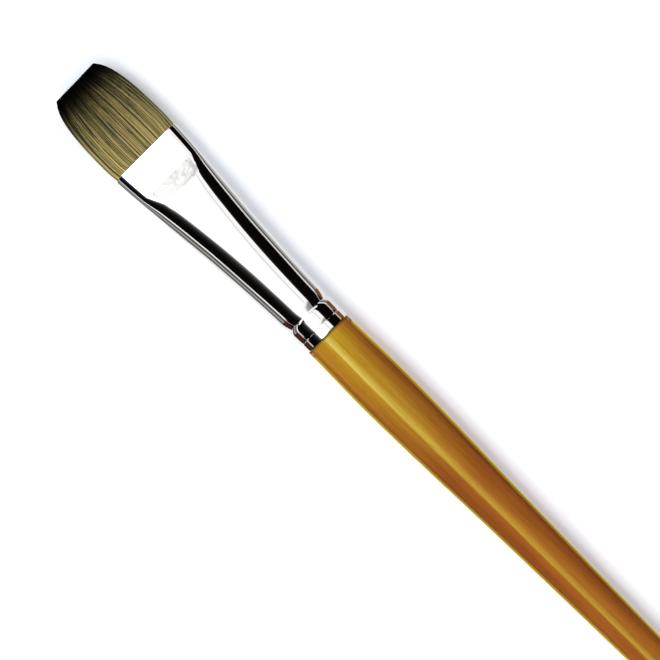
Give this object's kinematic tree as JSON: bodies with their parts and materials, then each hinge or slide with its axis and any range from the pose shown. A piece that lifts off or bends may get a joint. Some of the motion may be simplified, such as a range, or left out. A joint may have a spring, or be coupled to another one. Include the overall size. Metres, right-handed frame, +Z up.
{
  "type": "paint brush",
  "caption": "Long-handled flat artist's brush: chisel-cut synthetic bristles in a flattened, crimped nickel ferrule on a tapered lacquered wood handle.",
  "frame": {"origin": "under the middle of the brush as it lies on its broad side, on the surface that it lies on", "axes": "+X along the brush towards the bristle tip, +Y across the width of the bristles, +Z up, out of the ferrule's broad flat face"},
  "size_m": [0.3, 0.0198, 0.0133],
  "materials": {
    "lacquered_wood": "amber stained wood under clear gloss lacquer",
    "polished_nickel": "polished nickel plating on a thin brass tube",
    "bristle_fibre": "satin tapered synthetic filaments, gold and dark grey-green, nearly black at the tips",
    "thread": "waxed twisted thread",
    "resin": "set amber resin",
    "wood_glue": "dried glue film"
  },
  "bodies": {
    "brush": {"handle": "lacquered_wood", "ferrule": "polished_nickel", "bristle_heel": "bristle_fibre", "binding_thread": "thread", "resin_plug": "resin", "tenon_glue": "wood_glue"},
    "tuft": {"bristles": "bristle_fibre"}
  },
  "joints": [
    {"name": "bristle_flex", "type": "hinge", "parent": "brush", "child": "tuft", "pos_m": [0.12815, 0, 0.00668], "axis": [0, 1, 0], "range_deg": [-35, 35], "stiffness_Nm_per_rad": 0.02}
  ]
}
